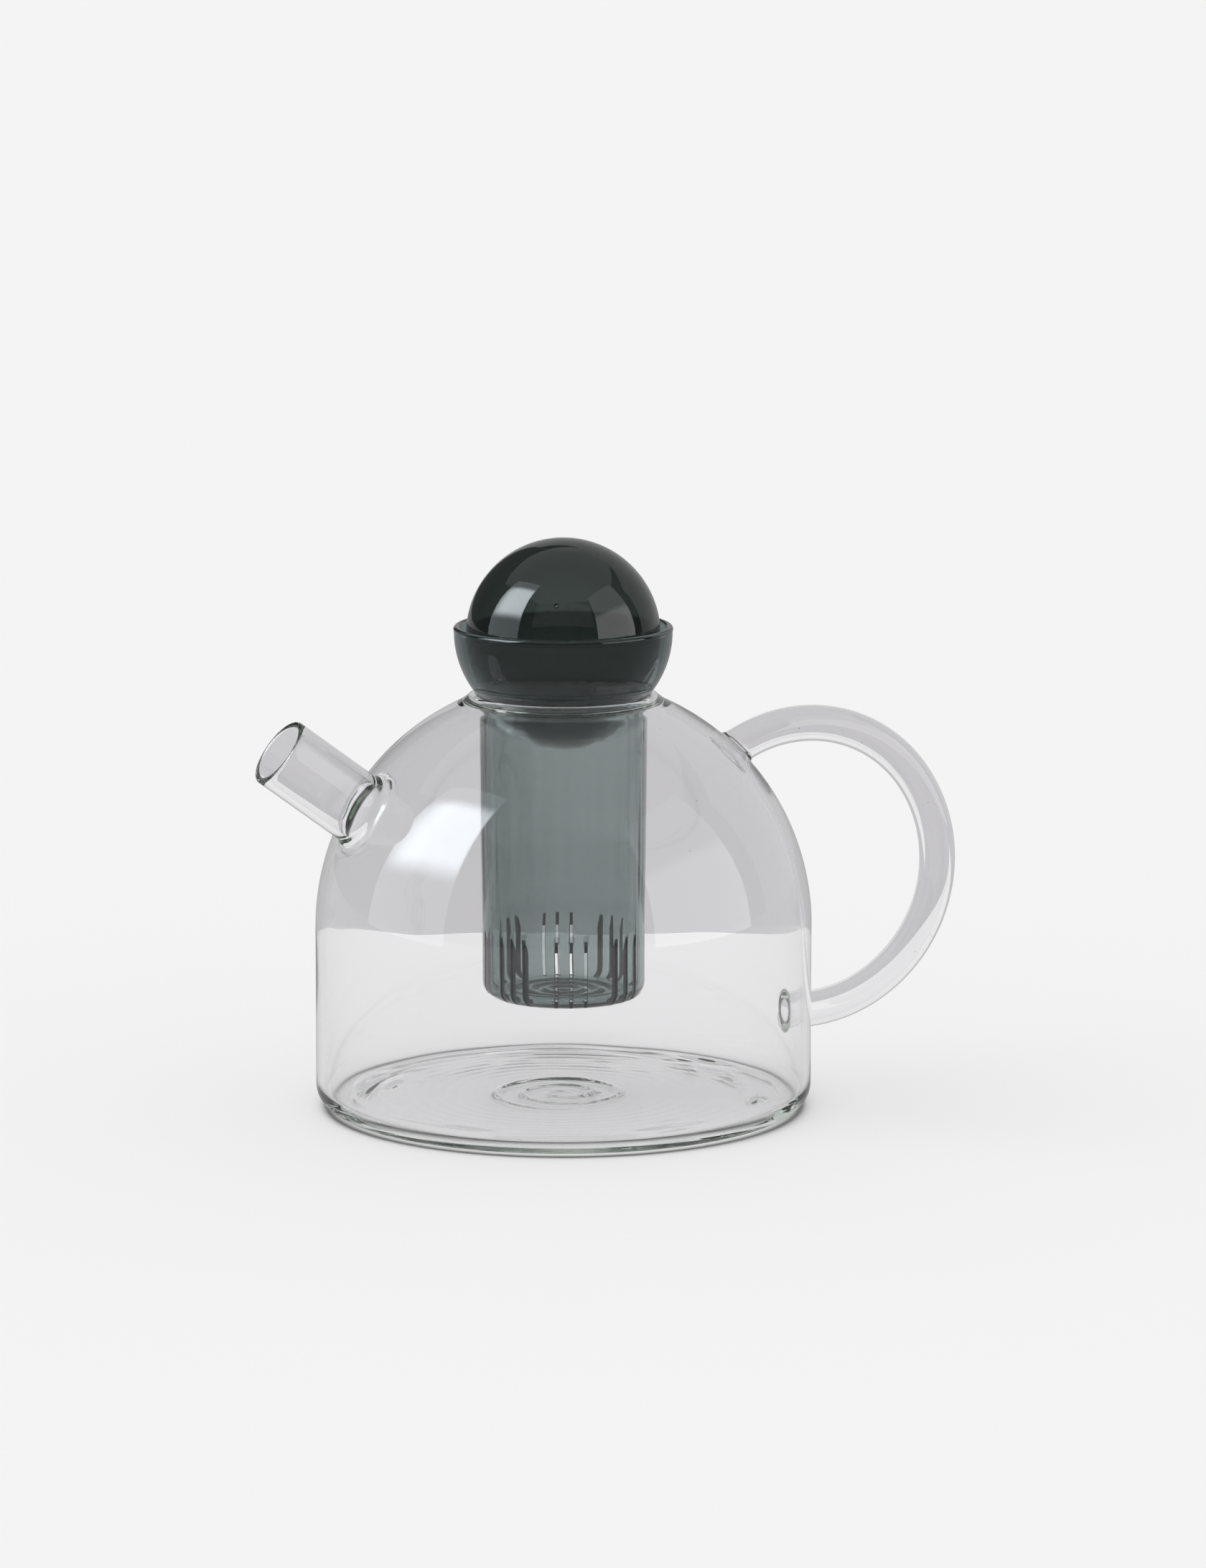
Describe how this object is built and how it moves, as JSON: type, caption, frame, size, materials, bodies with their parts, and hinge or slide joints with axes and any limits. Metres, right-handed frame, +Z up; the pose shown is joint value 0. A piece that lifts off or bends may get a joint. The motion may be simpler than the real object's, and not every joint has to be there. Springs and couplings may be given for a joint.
{
  "type": "glass teapot",
  "caption": "Blown glass teapot with a straight fused spout and a hollow loop handle, a slotted tube infuser hanging in the mouth and a hollow ball resting on it as the lid.",
  "frame": {"origin": "centre of the foot, on the plane that the teapot stands on", "axes": "+Z up the axis of the vessel, -X towards the spout, +X towards the handle"},
  "size_m": [0.2249, 0.15, 0.1726],
  "materials": {
    "clear_glass": "clear borosilicate glass, fire polished",
    "smoked_glass": "grey-green smoked borosilicate glass, fire polished",
    "dark_glass": "dark grey-green smoked borosilicate glass, fire polished"
  },
  "bodies": {
    "vessel": {"vessel_cup": "clear_glass", "vessel_dome": "clear_glass", "mouth_ring": "clear_glass", "spout_tube": "clear_glass", "spout_weld": "clear_glass", "handle_tube": "clear_glass", "handle_weld_upper": "clear_glass", "handle_weld_lower": "clear_glass"},
    "infuser": {"infuser_bowl": "smoked_glass", "infuser_tube": "smoked_glass"},
    "lid": {"ball_lid": "dark_glass"}
  },
  "joints": [
    {"name": "infuser_lift", "type": "slide", "parent": "vessel", "child": "infuser", "axis": [0, 0, 1], "range_m": [0, 0.12]},
    {"name": "lid_lift", "type": "slide", "parent": "infuser", "child": "lid", "axis": [0, 0, 1], "range_m": [0, 0.06]}
  ]
}
